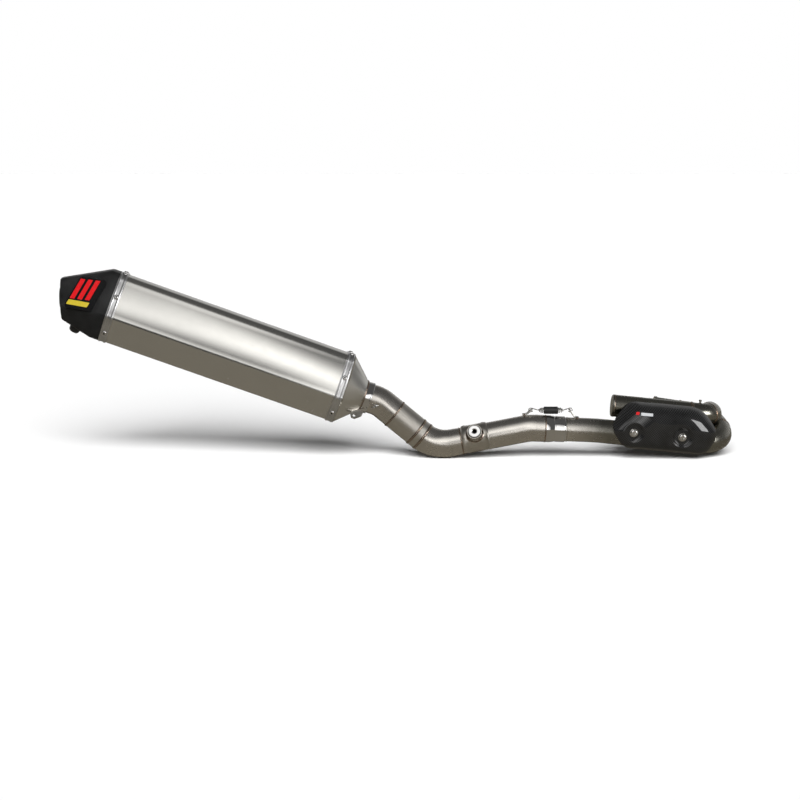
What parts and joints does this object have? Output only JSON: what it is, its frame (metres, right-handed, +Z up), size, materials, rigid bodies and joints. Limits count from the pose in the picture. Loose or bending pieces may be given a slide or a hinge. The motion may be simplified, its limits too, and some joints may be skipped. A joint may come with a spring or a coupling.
{
  "type": "racing exhaust system",
  "caption": "Titanium off-road race exhaust: looped header with carbon heat shield, sprung slip-on link pipe and six-sided muffler with a carbon outlet cap.",
  "frame": {"origin": "centre of the header's open engine end, at the outer face of its sealing ring", "axes": "+X to the front of the machine, along the system's length; +Y to the machine's far side, away from the heat shield; +Z up"},
  "size_m": [1.1398, 0.2193, 0.3229],
  "materials": {
    "titanium": "satin titanium sheet and tube",
    "steel": "bright satin steel and rolled titanium trim",
    "aluminium": "bright machined",
    "carbon": "lacquered carbon fibre weave",
    "rubber": "black rubber",
    "black_screw": "black satin",
    "packing": "needled glass wool"
  },
  "bodies": {
    "header": {"port_ring": "steel", "header_port_tube": "titanium", "header_far_bend": "titanium", "header_near_bend": "titanium", "header_tube": "titanium", "chamber_tube": "titanium", "chamber_bend": "titanium", "chamber_cap": "titanium", "chamber_stud": "steel", "header_spring_hook": "steel", "shield_boss_rear": "titanium", "shield_boss_front": "titanium", "heat_shield": "carbon", "shield_washer_rear": "steel", "shield_washer_front": "steel", "shield_bolt_rear": "steel", "shield_bolt_front": "steel"},
    "link": {"link_sleeve": "titanium", "link_front_tube": "titanium", "link_elbow": "titanium", "link_ring": "titanium", "link_middle_tube": "titanium", "link_end_tube": "titanium", "hanger_saddle": "titanium", "hanger_cup": "titanium", "hanger_rubber": "rubber", "hanger_bush": "aluminium", "link_spring_hook": "steel", "link_rear_hook": "steel", "joint_spring": "steel", "joint_spring_sleeve": "rubber"},
    "muffler": {"muffler_shell": "titanium", "inlet_band": "steel", "outlet_band": "steel", "packing": "packing", "perforated_core": "steel", "inlet_cap": "titanium", "inlet_collar": "steel", "outlet_cap": "carbon", "outlet_tube": "steel", "noise_insert": "steel", "insert_screw": "black_screw", "inlet_lug": "steel", "rivet_inlet_top_near": "aluminium", "rivet_inlet_side_near": "aluminium", "rivet_inlet_low_near": "aluminium", "rivet_inlet_low_far": "aluminium", "rivet_inlet_side_far": "aluminium", "rivet_inlet_top_far": "aluminium", "rivet_outlet_top_near": "aluminium", "rivet_outlet_side_near": "aluminium", "rivet_outlet_low_near": "aluminium", "rivet_outlet_low_far": "aluminium", "rivet_outlet_side_far": "aluminium", "rivet_outlet_top_far": "aluminium"}
  },
  "joints": [
    {"name": "link_slip", "type": "slide", "parent": "header", "child": "link", "axis": [-0.9993, 0, 0.037], "range_m": [0, 0.012], "stiffness_N_per_m": 4000, "springref_m": -0.01, "deforming": ["joint_spring"]},
    {"name": "muffler_twist", "type": "hinge", "parent": "link", "child": "muffler", "pos_m": [-0.5087, -0.112, 0.0371], "axis": [-0.9365, -0.0704, 0.3437], "range_deg": [-6, 6]}
  ]
}
